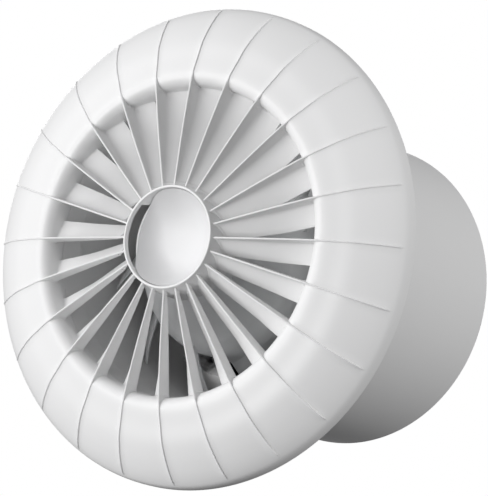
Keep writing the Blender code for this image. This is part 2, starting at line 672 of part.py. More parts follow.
def make_coil_leads():
    """Two insulated leads from the bobbin, along the groove in the duct wall, to the terminals."""
    groove = DUCT_RADIUS - TUBE_WALL + 0.65
    for name, side, coat in (("coil_lead_live", 1, BROWN), ("coil_lead_neutral", -1, BLUE)):
        near = side * 1.1
        route = [(near, 35.4, 50.0), (near, 38.6, 51.6), (near, 43.0, 51.6), (near, 46.4, 49.4),
                 (near, groove, 46.0), (near, groove, 30.0), (near, groove, 14.0), (near, groove, -1.0),
                 (near, groove, -3.4), (near, 50.0, -5.9), (side * 3.0, 50.4, -6.1), (side * 4.8, 51.2, -6.1),
                 (side * TERMINAL_OFFSET, 52.6, -6.1), (side * TERMINAL_OFFSET, 54.4, -6.1)]
        paint(wire(name, smooth_path(route, 2), LEAD_RADIUS, CASING), coat)


def empty(name):
    """Empty at the origin whose local Z is the fan axis."""
    frame = bpy.data.objects.new(name, None)
    PARTS.objects.link(frame)
    frame.rotation_euler = AXIS_TURN
    return frame


for old in list(bpy.data.objects):
    bpy.data.objects.remove(old)

AXIS_TURN = (-math.pi / 2, 0, 0)
PARTS = collection("bathroom_extractor_fan")
TOOLS = collection("cutters")
CASING = empty("casing_frame")
ROTOR = empty("rotor_axis")
COVER = empty("cover_slide")

WHITE_GLOSS = material("white gloss plastic", (0.86, 0.86, 0.85), 0.28)
WHITE_MATT = material("white matt plastic", (0.80, 0.80, 0.79), 0.5)
NYLON = material("natural nylon", (0.72, 0.70, 0.62), 0.5)
BLACK_NYLON = material("black nylon", (0.035, 0.035, 0.037), 0.5)
RUBBER = material("black rubber", (0.03, 0.03, 0.03), 0.8)
STEEL = material("plated steel", (0.62, 0.62, 0.63), 0.32, 1.0)
ZINC = material("zinc plated strip", (0.60, 0.62, 0.62), 0.42, 1.0)
LAMINATION = material("laminated steel", (0.30, 0.30, 0.31), 0.55, 1.0)
COPPER = material("enamelled copper", (0.55, 0.22, 0.09), 0.35, 1.0)
BRONZE = material("sintered bronze", (0.50, 0.34, 0.18), 0.5, 1.0)
BRASS = material("brass", (0.68, 0.52, 0.24), 0.35, 1.0)
ALUMINIUM = material("cast aluminium", (0.66, 0.66, 0.67), 0.5, 1.0)
FIBRE = material("red fibre", (0.35, 0.09, 0.06), 0.7)
TAPE = material("black insulating tape", (0.025, 0.025, 0.027), 0.45)
BROWN = material("brown sleeving", (0.20, 0.09, 0.04), 0.5)
BLUE = material("blue sleeving", (0.05, 0.15, 0.45), 0.5)

make_front_grille()
make_hub_cap()
make_duct_casing()
make_motor_carrier()
make_carrier_screws()
make_stator_core()
make_shading_rings()
make_coil()
make_coil_tape()
make_bearing_bracket("front_bearing_bracket", 37.0, 31.3, 25.0, 32.6)
make_bearing_bracket("rear_bearing_bracket", 55.0, 60.7, 59.4, 66.6)
make_motor_fixings()
make_bearings()
make_rotor()
make_impeller()
make_impeller_clip()
make_terminals()
make_terminal_cover()
make_cable_grommet()
make_coil_leads()
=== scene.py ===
"""Looks of the bathroom extractor fan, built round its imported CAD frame.

World axes, as in the frame: +X right seen from the room, +Y along the fan axis into the duct, +Z up.
Pieces are built in millimetres; the staging is in metres. Clock angles are in degrees and run clockwise
from the top as seen from the room.
"""
import math

import bmesh
import bpy
from mathutils import Matrix, Vector


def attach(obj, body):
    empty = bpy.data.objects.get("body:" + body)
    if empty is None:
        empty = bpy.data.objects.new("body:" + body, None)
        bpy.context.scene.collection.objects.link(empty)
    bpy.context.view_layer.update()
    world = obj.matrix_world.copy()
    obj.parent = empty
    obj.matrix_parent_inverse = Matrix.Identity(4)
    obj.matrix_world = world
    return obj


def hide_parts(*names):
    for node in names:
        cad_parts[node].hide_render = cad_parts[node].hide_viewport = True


MM = 0.001
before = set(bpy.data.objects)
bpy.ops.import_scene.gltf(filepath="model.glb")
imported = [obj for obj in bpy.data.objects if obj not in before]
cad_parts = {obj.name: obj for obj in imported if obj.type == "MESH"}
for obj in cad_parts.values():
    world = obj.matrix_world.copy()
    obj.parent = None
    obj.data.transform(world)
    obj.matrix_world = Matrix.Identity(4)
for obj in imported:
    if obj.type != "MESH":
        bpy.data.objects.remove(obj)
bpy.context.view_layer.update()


# --- geometry helpers ---

def polar(radius, clock, depth=0.0):
    """Point in millimetres at a clock angle round the fan axis."""
    angle = math.radians(clock)
    return Vector((radius * math.sin(angle), depth, radius * math.cos(angle)))


def smooth_path(points, steps):
    """Catmull-Rom curve through the points."""
    spots = [Vector(p) for p in points]
    spots = [spots[0] * 2 - spots[1]] + spots + [spots[-1] * 2 - spots[-2]]
    path = []
    for before, a, b, after in zip(spots, spots[1:], spots[2:], spots[3:]):
        for i in range(steps):
            t = i / steps
            path.append(0.5 * (2 * a + (b - before) * t + (2 * before - 5 * a + 4 * b - after) * t * t
                               + (3 * a - before - 3 * b + after) * t ** 3))
    return path + [spots[-2]]


def rounded(points, steps=4):
    """Outline of (radius, depth, fillet) corners as points, with an arc at each corner."""
    outline = []
    count = len(points)
    for i, (x, y, fillet) in enumerate(points):
        corner = Vector((x, y))
        if fillet <= 0:
            outline.append(tuple(corner))
            continue
        before = Vector(points[i - 1][:2]) - corner
        after = Vector(points[(i + 1) % count][:2]) - corner
        half = before.angle(after) / 2
        run = min(fillet / math.tan(half), before.length * 0.49, after.length * 0.49)
        start = corner + before.normalized() * run
        end = corner + after.normalized() * run
        for k in range(steps + 1):
            t = k / steps
            outline.append(tuple(start * (1 - t) ** 2 + corner * 2 * t * (1 - t) + end * t * t))
    return outline


def new_mesh(name, verts, faces):
    mesh = bpy.data.meshes.new(name)
    mesh.from_pydata([Vector(v) * MM for v in verts], [], faces)
    mesh.validate()
    shape = bmesh.new()
    shape.from_mesh(mesh)
    bmesh.ops.remove_doubles(shape, verts=shape.verts, dist=1e-7)
    bmesh.ops.recalc_face_normals(shape, faces=shape.faces)
    shape.to_mesh(mesh)
    shape.free()
    thing = bpy.data.objects.new(name, mesh)
    bpy.context.scene.collection.objects.link(thing)
    return thing


def loft(sections, closed=True, ring=False):
    """Faces between equal sections; closed joins a section's ends, ring the last section to the first."""
    width = len(sections[0])
    faces = []
    for i in range(len(sections) if ring else len(sections) - 1):
        a = i * width
        b = (i + 1) % len(sections) * width
        for j in range(width if closed else width - 1):
            k = (j + 1) % width
            faces.append((a + j, a + k, b + k, b + j))
    return faces


def solid_loft(name, sections):
    """Closed solid through closed sections, with flat ends."""
    verts = [v for section in sections for v in section]
    width = len(sections[0])
    ends = [tuple(range(width))[::-1], tuple(range(len(verts) - width, len(verts)))]
    return new_mesh(name, verts, loft(sections) + ends)


def lathe(name, outline, steps, centre=(0, 0), swell=None):
    """Turn an outline of (radius, depth) round a line parallel to the fan axis.

    The outline's two ends lie on that line or the outline is a closed loop. Swell, called with a point's
    radius, depth and angle, gives what is added to its radius.
    """
    touches = outline[0][0] == 0 and outline[-1][0] == 0
    sections = []
    for i in range(steps):
        angle = 2 * math.pi * i / steps
        section = []
        for r, y in outline:
            reach = r + (swell(r, y, angle) if swell else 0.0)
            section.append((centre[0] + reach * math.sin(angle), y, centre[-1] + reach * math.cos(angle)))
        sections.append(section)
    verts = [v for section in sections for v in section]
    return new_mesh(name, verts, loft(sections, closed=not touches, ring=True))


def turned_ring(name, inner, outer, start, end, fillets, steps, centre=(0, 0), swell=None):
    """Turned ring, with a fillet for each corner of its section, from the inner front corner outwards."""
    corners = ((inner, start), (outer, start), (outer, end), (inner, end))
    outline = rounded([(*corner, fillet) for corner, fillet in zip(corners, fillets)])
    return lathe(name, outline, steps, centre, swell)


def tube(name, points, radius, sides, across, closed=False):
    """Round tube along a path that runs roughly square to the direction across."""
    across = Vector(across)
    sections = []
    count = len(points)
    for i, point in enumerate(points):
        ahead = points[(i + 1) % count] if closed else points[min(i + 1, count - 1)]
        behind = points[i - 1] if closed else points[max(i - 1, 0)]
        run = (Vector(ahead) - Vector(behind)).normalized()
        up = run.cross(across).normalized()
        side = up.cross(run)
        turn = [2 * math.pi * k / sides for k in range(sides)]
        sections.append([Vector(point) + (up * math.cos(t) + side * math.sin(t)) * radius for t in turn])
    if closed:
        return new_mesh(name, [v for section in sections for v in section], loft(sections, ring=True))
    return solid_loft(name, sections)


def turn_to(thing, clock):
    """Turn a shape made at the top round the fan axis to a clock angle."""
    thing.data.transform(Matrix.Rotation(math.radians(clock), 4, "Y"))
    return thing


def thread(radius, pitch, depth, start, end):
    """Swell for a lathe that makes a helical thread on the part that has this radius."""
    def swell(r, y, angle):
        if abs(r - radius) > 0.01 or not start <= y <= end:
            return 0.0
        phase = (y / pitch - angle / (2 * math.pi)) % 1.0
        return -depth * abs(2 * phase - 1)
    return swell


def depths(start, end, step):
    """Depths from start to end, no further apart than a step."""
    count = max(1, math.ceil((end - start) / step))
    return [start + (end - start) * i / count for i in range(count + 1)]


def prism(name, outline, start, end):
    """Solid between two depths, from an outline of (x, z) points."""
    return solid_loft(name, [[(x, depth, z) for x, z in outline] for depth in (start, end)])


def offset(outline, distance):
    """Move every corner of a closed outline out by a distance, or in by a negative one."""
    area = sum(a[0] * b[1] - b[0] * a[1] for a, b in zip(outline, outline[1:] + outline[:1]))
    sign = 1 if area > 0 else -1
    moved = []
    for i, point in enumerate(outline):
        into = (Vector(point) - Vector(outline[i - 1])).normalized()
        out_of = (Vector(outline[(i + 1) % len(outline)]) - Vector(point)).normalized()
        normal = (Vector((into.y, -into.x)) + Vector((out_of.y, -out_of.x))).normalized() * sign
        moved.append(tuple(Vector(point) + normal * distance))
    return moved


def rounded_box(name, low, high, radius):
    """Box between two corners; its edges are rounded unless the radius is 0."""
    low, high = Vector(low), Vector(high)
    shape = bmesh.new()
    bmesh.ops.create_cube(shape, size=1.0)
    bmesh.ops.scale(shape, vec=(high - low) * MM, verts=shape.verts)
    bmesh.ops.translate(shape, vec=(high + low) * MM / 2, verts=shape.verts)
    if radius:
        bmesh.ops.bevel(shape, geom=shape.edges[:], offset=radius * MM, segments=3, profile=0.5,
                        affect="EDGES")
    mesh = bpy.data.meshes.new(name)
    shape.to_mesh(mesh)
    shape.free()
    thing = bpy.data.objects.new(name, mesh)
    bpy.context.scene.collection.objects.link(thing)
    return thing


def boolean(thing, tools, operation):
    """Apply one Boolean for each tool and remove the tools."""
    for tool in tools:
        change = thing.modifiers.new(operation.lower(), "BOOLEAN")
        change.operation = operation
        change.object = tool
        change.solver = "MANIFOLD"
        bpy.context.view_layer.update()
        graph = bpy.context.evaluated_depsgraph_get()
        mesh = bpy.data.meshes.new_from_object(thing.evaluated_get(graph))
        thing.modifiers.clear()
        old = thing.data
        thing.data = mesh
        bpy.data.meshes.remove(old)
        bpy.data.objects.remove(tool)
    return thing


def join(thing, *tools):
    return boolean(thing, tools, "UNION")


def cut(thing, *tools):
    return boolean(thing, tools, "DIFFERENCE")


def finish_piece(thing, body, slot, coat, *nodes, angle=34):
    """Shade a piece, give it its material, tie it to its body and hide the CAD nodes it replaces."""
    thing.data.shade_smooth()
    thing.data.set_sharp_from_angle(angle=math.radians(angle))
    thing.data.materials.clear()
    thing.data.materials.append(coat)
    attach(thing, body)
    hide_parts(*nodes)


# --- materials ---

def new_material(name, colour, roughness, metallic=0.0):
    """Principled material; returns it with its node tree and shader."""
    coat = bpy.data.materials.new(name)
    coat.use_nodes = True
    tree = coat.node_tree
    shader = tree.nodes["Principled BSDF"]
    shader.inputs["Base Color"].default_value = (*colour, 1.0)
    shader.inputs["Roughness"].default_value = roughness
    shader.inputs["Metallic"].default_value = metallic
    return coat, tree, shader


def noise(tree, scale, detail=3.0, stretch=(1, 1, 1)):
    """Noise in object space; scale is in cells per metre."""
    place = tree.nodes.new("ShaderNodeTexCoord")
    mapping = tree.nodes.new("ShaderNodeMapping")
    mapping.inputs["Scale"].default_value = stretch
    texture = tree.nodes.new("ShaderNodeTexNoise")
    texture.inputs["Scale"].default_value = scale
    texture.inputs["Detail"].default_value = detail
    tree.links.new(place.outputs["Object"], mapping.inputs["Vector"])
    tree.links.new(mapping.outputs["Vector"], texture.inputs["Vector"])
    return texture.outputs["Fac"]


def ramp(tree, source, stops):
    """Colour ramp on a value; stops are (position, colour) pairs."""
    node = tree.nodes.new("ShaderNodeValToRGB")
    first, last = node.color_ramp.elements[0], node.color_ramp.elements[-1]
    first.position, first.color = stops[0][0], (*stops[0][1], 1.0)
    last.position, last.color = stops[-1][0], (*stops[-1][1], 1.0)
    for position, colour in stops[1:-1]:
        node.color_ramp.elements.new(position).color = (*colour, 1.0)
    tree.links.new(source, node.inputs["Fac"])
    return node.outputs["Color"]


def bump(tree, shader, source, strength, distance):
    node = tree.nodes.new("ShaderNodeBump")
    node.inputs["Strength"].default_value = strength
    node.inputs["Distance"].default_value = distance
    tree.links.new(source, node.inputs["Height"])
    tree.links.new(node.outputs["Normal"], shader.inputs["Normal"])


def spread(tree, source, low, high):
    """Map a noise value onto a range."""
    node = tree.nodes.new("ShaderNodeMapRange")
    node.inputs["From Min"].default_value = 0.3
    node.inputs["From Max"].default_value = 0.7
    node.inputs["To Min"].default_value = low
    node.inputs["To Max"].default_value = high
    tree.links.new(source, node.inputs["Value"])
    return node.outputs["Result"]


def moulded(name, colour, roughness, grain=0.00001, grain_scale=900, variation=0.005):
    """Moulded plastic: faint cloudiness in colour and gloss, and a fine skin texture."""
    coat, tree, shader = new_material(name, colour, roughness)
    dark = tuple(max(c - variation, 0) for c in colour)
    light = tuple(min(c + variation, 1) for c in colour)
    tree.links.new(ramp(tree, noise(tree, 28), [(0.3, dark), (0.7, light)]), shader.inputs["Base Color"])
    tree.links.new(spread(tree, noise(tree, 140), roughness - 0.02, roughness + 0.03),
                   shader.inputs["Roughness"])
    bump(tree, shader, noise(tree, grain_scale, 2.0), 0.35, grain)
    return coat


def metal(name, colour, roughness, stretch=(1, 1, 1), scale=1500, tarnish=0.06):
    """Plated or bare metal: patchy tone and fine drawn or tumbled marks."""
    coat, tree, shader = new_material(name, colour, roughness, 1.0)
    dark = tuple(max(c - tarnish, 0) for c in colour)
    light = tuple(min(c + tarnish / 2, 1) for c in colour)
    tree.links.new(ramp(tree, noise(tree, 160, 4.0), [(0.35, dark), (0.65, light)]),
                   shader.inputs["Base Color"])
    tree.links.new(spread(tree, noise(tree, scale, 3.0, stretch), roughness - 0.08, roughness + 0.12),
                   shader.inputs["Roughness"])
    bump(tree, shader, noise(tree, scale, 2.0, stretch), 0.25, 0.00002)
    return coat


GRILLE_WHITE = moulded("grille_white_gloss", (0.85, 0.85, 0.85), 0.36, grain=0.000003)
# Scoop coat: the grille's white painted darker and a little bluer as painted shade for its recess; the higher
# roughness is a satin finish
SCOOP_SHADED_WHITE = moulded("scoop_white_satin_painted_shade", (0.785, 0.785, 0.79), 0.55, grain=0.000005)
CASING_WHITE = moulded("casing_white_satin", (0.81, 0.81, 0.81), 0.5, grain_scale=1400)
IMPELLER_WHITE = moulded("impeller_white", (0.83, 0.84, 0.845), 0.42)
NYLON = moulded("natural_nylon", (0.68, 0.66, 0.57), 0.5, variation=0.03)
BLACK_NYLON = moulded("black_nylon", (0.035, 0.035, 0.037), 0.48, variation=0.008)
RUBBER = moulded("black_rubber", (0.028, 0.028, 0.03), 0.72, grain=0.00005, variation=0.008)
BROWN = moulded("brown_sleeving", (0.16, 0.07, 0.035), 0.45, variation=0.015)
BLUE = moulded("blue_sleeving", (0.03, 0.10, 0.36), 0.45, variation=0.015)
TAPE = moulded("black_tape", (0.022, 0.022, 0.024), 0.36, grain=0.00002, variation=0.006)
FIBRE = moulded("red_fibre", (0.30, 0.07, 0.05), 0.7, grain=0.00006, variation=0.03)
STEEL = metal("zinc_plated_steel", (0.60, 0.60, 0.61), 0.34)
ZINC = metal("zinc_strip", (0.57, 0.59, 0.60), 0.40, stretch=(1, 1, 9))
LAMINATION = metal("lamination_steel", (0.25, 0.255, 0.27), 0.46, stretch=(1, 26, 1))
COPPER = metal("enamelled_copper", (0.62, 0.24, 0.09), 0.30, tarnish=0.05)
BRONZE = metal("sintered_bronze", (0.46, 0.31, 0.16), 0.52, scale=3000)
BRASS = metal("brass", (0.66, 0.50, 0.22), 0.34)
ALUMINIUM = metal("cast_aluminium", (0.62, 0.62, 0.63), 0.5, scale=2600)


# --- shared layout: circles and clock angles of the fixings, depths along the axis ---

PRONG_ANGLES = (30, 150, 270)
CARRIER_ANGLES = (0, 120, 240)
FIXING_ANGLES = (60, 120, 240, 300)
FIXING_CIRCLE = 62.0
CARRIER_CIRCLE = 43.6
MOTOR_FIXING_X = 18.5
COVER_SCREW_X, COVER_SCREW_Z = 15.0, -57.0
GROMMET_SPOT = polar(61.0, 210)
SHADING_ANGLES = (35, 215)  # degrees clockwise from the right, unlike the clock angles
FLANGE_FRONT = -2.6
SPIGOT_END = 88.7
PLATE_FRONT, PLATE_REAR = 66.3, 69.3
SHEET = 0.5
CORE_FRONT, CORE_SHEETS = 38.0, 32
ROTOR_FRONT, ROTOR_SHEETS = 38.5, 30


# --- front grille ---

VANES = 24
VANE_ANGLE = -8.3
SECTOR = 360 / VANES
RING_FRONT = -23.2
SLOT_START, SLOT_END_FRONT, SLOT_END_REAR = 240, 318, 323
SLOT_FRONT = -21.5
SLOT_SLANT = 7.4
SLOT_DEEPEST = -12.2
SLOT_INNER, SLOT_OUTER = 14.1, 19.8
CAP_RADIUS = 15.1
CAP_RIM_DROP = 0.8
CAP_SLOT_DROP, CAP_SLOT_ANGLE, CAP_SLOT_SPREAD, CAP_SLOT_POWER = 6.0, 288, 45, 3.5
CAP_LOW = Vector((-5.0, -11.2, -2.0))
CAP_POWER = 3.2
# Meridian of the bell's outer face, as (radius, depth), from the throat over the lip to the wall
BELL_FACE = [(48.2, -9.75), (48.4, -13.0), (48.8, -15.4), (49.8, -17.0), (51.3, -17.75), (53.3, -17.6),
             (57.5, -16.15), (62.5, -14.4), (67.0, -11.85), (70.4, -9.4), (72.6, -7.5), (74.1, -5.9),
             (75.0, -4.6), (75.4, -3.2), (75.5, -1.8), (75.5, -0.7), (75.2, -0.4)]
BELL_BACK = [(73.9, -0.4), (73.6, -0.7), (73.6, -3.8), (71.6, -6.1), (69.3, -8.1), (65.9, -10.4),
             (61.7, -12.6), (56.9, -14.4), (53.2, -15.7), (51.4, -15.4), (50.6, -13.5), (50.3, -9.75)]
BELL_RADIUS = 75.5
RIB_START, RIB_END = 52.0, -5.3
RIB_FADE = 1.2
RIB_HEIGHT = 0.42
# Cross-section of a rib, as (millimetres aside, share of its height)
RIB_COLUMNS = [(-0.50, 0.0), (-0.30, 0.18), (-0.14, 0.88), (0.0, 1.0), (0.14, 0.88), (0.30, 0.18),
               (0.50, 0.0)]
PLAIN_COLUMNS = 7
VANE_NOSE, VANE_HALF = 0.3, 0.44
LIP_RADIUS = 49.6
# Fillets where a vane meets the bell's throat and the hub ring, as (wall radius, reach)
VANE_FILLETS = ((48.35, 0.9), (17.4, 0.7))
VANE_FILLET = 0.45
# Front edge of the vanes, as (radius, depth), down to where it sinks into the bell's rib
VANE_EDGE = [(15.9, -22.1), (22.5, -21.6), (28.5, -21.2), (35.0, -20.65), (45.0, -19.5), (49.0, -18.95),
             (51.0, -18.55), (53.0, -18.0), (55.0, -17.35), (57.0, -16.68)]


def along(table, radius):
    """Depth at a radius on a table of (radius, depth) points."""
    for (r0, y0), (r1, y1) in zip(table, table[1:]):
        if radius <= r1:
            return y0 + (y1 - y0) * (radius - r0) / (r1 - r0)
    return table[-1][1]


def bell_shell():
    """Thin bell with a fine rib at each vane's angle, from the lip to near the wall."""
    face = [(min(p[0], BELL_RADIUS), p[1]) for p in smooth_path(BELL_FACE, 5)]
    back = [tuple(p) for p in smooth_path(BELL_BACK, 2)]
    outline = face + back
    inside = Vector((62.0, -5.0))
    lift = []
    for i, (r, y) in enumerate(outline):
        on_rib = i < len(face) and r > RIB_START and y < RIB_END
        tangent = Vector(outline[min(i + 1, len(outline) - 1)]) - Vector(outline[i - 1])
        normal = Vector((-tangent.y, tangent.x)).normalized()
        normal = -normal if normal.dot(Vector((r, y)) - inside) < 0 else normal
        height = RIB_HEIGHT * min(1.0, (RIB_END - y) / RIB_FADE) if on_rib else 0.0
        lift.append(normal * height)
    sections = []
    for k in range(VANES):
        centre = VANE_ANGLE + SECTOR * k
        for side, share in RIB_COLUMNS:
            column = []
            for (r, y), up in zip(outline, lift):
                column.append(polar(r + up.x * share, centre + math.degrees(side / r), y + up.y * share))
            sections.append(column)
        for j in range(1, PLAIN_COLUMNS + 1):
            column = []
            for r, y in outline:
                edge = math.degrees(RIB_COLUMNS[-1][0] / r)
                angle = centre + edge + (SECTOR - 2 * edge) * j / (PLAIN_COLUMNS + 1)
                column.append(polar(r, angle, y))
            sections.append(column)
    verts = [v for column in sections for v in column]
    return new_mesh("front_grille_moulding", verts, loft(sections, ring=True))


def vane_shape(radius):
    """Where a vane bends, where it ends and how far round its rear edge lies, at one radius."""
    share = min(max((radius - 17.0) / 31.0, 0.0), 1.0)
    strip = 0.5 + 4.7 * share ** 0.65
    rear = min(-15.4 + 0.27 * (radius - 17.0), -10.35)
    return strip, rear, 4.2 + 2.4 * share


def vane_section(radius, clock):
    """Closed loop round the vane at one radius: rounded front edge, axial strip, then a clockwise sweep."""
    front = along(VANE_EDGE, radius)
    strip, rear, sweep = vane_shape(radius)
    over_lip = radius > LIP_RADIUS
    if over_lip:
        rear = along(BELL_FACE[4:], max(radius, 51.4)) + 0.9
        strip = rear - front - 0.6
        sweep = 0.0
    fillet = 0.0
    for wall, reach in VANE_FILLETS:
        away = max(abs(radius - wall) / reach, 0.0)
        if away < 1.0 and not over_lip:
            fillet = VANE_FILLET * (1 - math.sqrt(1 - (1 - away) ** 2))
    bend = front + strip
    line = [(front + VANE_NOSE, 0.0, VANE_NOSE)]
    for t in (0.25, 0.5, 0.75, 1.0):
        depth = front + VANE_NOSE + (strip - VANE_NOSE) * t
        line.append((depth, 0.0, VANE_NOSE + 0.14 * min(1.0, (depth - front) / 4.0) + fillet * t))
    steps, soft = 8, 0.25
    for i in range(1, steps + 1):
        t = i / steps
        side = sweep * (math.hypot(t, soft) - soft) / (math.hypot(1.0, soft) - soft)
        line.append((bend + (rear - bend - 0.3) * t, side, VANE_HALF + fillet))
    left, right = [], []
    for i, (depth, side, half) in enumerate(line):
        ahead = line[min(i + 1, len(line) - 1)]
        behind = line[max(i - 1, 0)]
        run = Vector((ahead[0] - behind[0], ahead[1] - behind[1])).normalized()
        left.append((depth - run.y * half, side + run.x * half))
        right.append((depth + run.y * half, side - run.x * half))
    arc = [math.radians(degrees) for degrees in (50, 0, -50)]
    nose = [(front + VANE_NOSE - VANE_NOSE * math.cos(a), VANE_NOSE * math.sin(a)) for a in arc]
    end = Vector(line[-1][:2])
    run = (end - Vector(line[-2][:2])).normalized()
    loop = left + [tuple(end + run * 0.25)] + right[::-1] + nose[::-1]
    return [polar(radius, clock + math.degrees(side / radius), depth) for depth, side in loop]


def vane(clock):
    radii = [15.9, 17.1, 17.5, 17.8, 18.2, 19.5, 22.0, 25.0, 29.0, 33.0, 37.0, 41.0, 44.0, 46.5, 47.4, 47.8,
             48.1, 48.35, 48.7, 49.3, 50.0, 51.0, 52.0, 53.0, 54.0, 55.0, 56.5]
    return solid_loft("vane", [vane_section(r, clock) for r in radii])


def hub_ring():
    """Hub wall that carries the vane roots, flaring a little towards its rear."""
    return lathe("hub_ring", rounded([(15.4, -11.0, 0.3), (17.8, -11.0, 0.3), (17.15, -18.6, 3.0),
                                      (16.12, RING_FRONT, 0.34), (15.4, RING_FRONT, 0.34)], 6), 200)


def cap_edge(clock):
    """Depth of the cap's rim: just behind the ring's front, and deeper along the slot."""
    away = abs((clock - CAP_SLOT_ANGLE + 180) % 360 - 180) / CAP_SLOT_SPREAD
    return RING_FRONT + CAP_RIM_DROP + CAP_SLOT_DROP * math.exp(-away ** CAP_SLOT_POWER)


def slot_cutter():
    """Clears the finger slot in the hub ring; it slants back from the cap's rim on its way out."""
    sections, steps = [], 48
    for i in range(steps + 1):
        front = SLOT_START + (SLOT_END_FRONT - SLOT_START) * i / steps
        rear = SLOT_START + (SLOT_END_REAR - SLOT_START) * i / steps
        edge = cap_edge(rear)
        sections.append([polar(SLOT_INNER, front, SLOT_FRONT), polar(SLOT_OUTER, front, SLOT_FRONT),
                         polar(SLOT_OUTER, rear, min(edge + SLOT_SLANT, SLOT_DEEPEST)),
                         polar(SLOT_INNER, rear, edge)])
    return solid_loft("slot_cutter", sections)


def slot_passage():
    """Clears the rear inner corners of the vanes behind the slot, so that it opens into the air way."""
    sections, steps = [], 24
    for i in range(steps + 1):
        clock = SLOT_START + (SLOT_END_REAR - SLOT_START) * i / steps
        corners = ((14.0, SLOT_FRONT), (15.8, SLOT_FRONT), (23.6, -9.4), (14.0, -9.4))
        sections.append([polar(r, clock, y) for r, y in corners])
    return solid_loft("slot_passage", sections)


def make_grille():
    grille = bell_shell()
    grille = join(grille, *[vane(VANE_ANGLE + SECTOR * k) for k in range(VANES)])
    grille = cut(grille, slot_passage())
    grille = join(grille, hub_ring())
    grille = cut(grille, slot_cutter())
    prong = [(0, -13.5), (1.5, -13.5), (1.5, -4.5), (1.1, -4.0), (0, -4.0)]
    for clock in PRONG_ANGLES:
        grille = join(grille, lathe("prong", prong, 24, polar(FIXING_CIRCLE, clock)))
    finish_piece(grille, "front_cover", "grille_white", GRILLE_WHITE, "front_grille", angle=30)


def make_hub_cap():
    """Finger scoop in the hub ring: a bowl whose deepest spot lies near the slot."""
    sides, rings, thick = 144, 20, 1.4
    front = [CAP_LOW]
    for k in range(1, rings + 1):
        t = k / rings
        for i in range(sides):
            clock = 360 * i / sides
            edge = polar(CAP_RADIUS, clock, cap_edge(clock))
            spot = CAP_LOW.lerp(edge, t)
            spot.y = CAP_LOW.y + (edge.y - CAP_LOW.y) * t ** CAP_POWER
            front.append(spot)
    count = len(front)
    faces = []
    for first in (0, count):
        for i in range(sides):
            j = (i + 1) % sides
            faces.append((first, first + 1 + i, first + 1 + j))
            for k in range(rings - 1):
                inner, outer = first + 1 + k * sides, first + 1 + (k + 1) * sides
                faces.append((inner + i, outer + i, outer + j, inner + j))
    rim, middle = 1 + (rings - 1) * sides, 2 * count
    for i in range(sides):
        j = (i + 1) % sides
        faces.append((rim + i, rim + j, middle + j, middle + i))
        faces.append((middle + i, middle + j, rim + count + j, rim + count + i))
    back = [point + Vector((0, thick, 0)) for point in front]
    edge_line = []
    for i in range(sides):
        clock = 360 * i / sides
        edge_line.append(polar(CAP_RADIUS + 0.15, clock, cap_edge(clock) + 0.25))
    cap = new_mesh("hub_scoop", front + back + edge_line, faces)
    # Its coat is the grille white painted darker and bluer: painted shade in the recess
    finish_piece(cap, "front_cover", "grille_white", SCOOP_SHADED_WHITE, "hub_cap")


# --- duct casing ---

def drilled(radius, start, end, spot, lip=0.35):
    """Cutter for a round hole with a small chamfer at both mouths."""
    outline = [(0, start - 1), (radius + lip + 1, start - 1), (radius + lip, start), (radius, start + lip),
               (radius, end - lip), (radius + lip, end), (radius + lip + 1, end + 1), (0, end + 1)]
    return lathe("drill", outline, 40, spot)


def make_casing():
    """Flange, spigot, carrier bosses and prong sockets, with the fixing holes and the leads' groove."""
    outline = rounded([(47, FLANGE_FRONT, 4.0), (48.2, -9.6, 0.2), (49, -9.6, 0.3), (49, FLANGE_FRONT, 0.8),
                       (71.6, FLANGE_FRONT, 0.6), (71.6, -3.4, 0.2), (73.2, -3.4, 0.3), (73.2, 0, 0.3),
                       (49, 0, 1.0), (49, SPIGOT_END, 0.9), (47, SPIGOT_END, 0.5)], 5)
    casing = lathe("casing_moulding", outline, 192)
    for clock in CARRIER_ANGLES:
        boss = rounded_box("boss", (-4, 58, 40.4), (4, 66, 48.0), 0.8)
        gusset = rounded_box("gusset", (-0.8, 48, 44.6), (0.8, 60, 48.0), 0.4)
        casing = join(casing, turn_to(boss, clock), turn_to(gusset, clock))
        casing = cut(casing, drilled(1.7, 59, 66, polar(CARRIER_CIRCLE, clock), 0.2))
    for clock in PRONG_ANGLES:
        spot = polar(FIXING_CIRCLE, clock)
        socket = rounded([(0, -8.6, 0), (3.2, -8.6, 0.4), (3.2, -1.3, 0), (0, -1.3, 0)])
        casing = join(casing, lathe("socket", socket, 40, spot))
        casing = cut(casing, drilled(1.8, -8.6, 0, spot, 0.3))
    for clock in FIXING_ANGLES:
        casing = cut(casing, drilled(2.2, FLANGE_FRONT, 0, polar(FIXING_CIRCLE, clock)))
    casing = cut(casing, drilled(5.2, FLANGE_FRONT, 0, GROMMET_SPOT),
                 drilled(1.6, FLANGE_FRONT, 0, (COVER_SCREW_X, COVER_SCREW_Z), 0.2))
    groove = rounded_box("groove", (-2.2, -5.0, -48.35), (2.2, 56.0, -44.0), 0.5)
    window = rounded_box("window", (-2.2, -7.6, -51.0), (2.2, -3.4, -44.0), 0.4)
    casing = cut(casing, groove, window)
    finish_piece(casing, "casing", "casing_white", CASING_WHITE, "duct_casing")


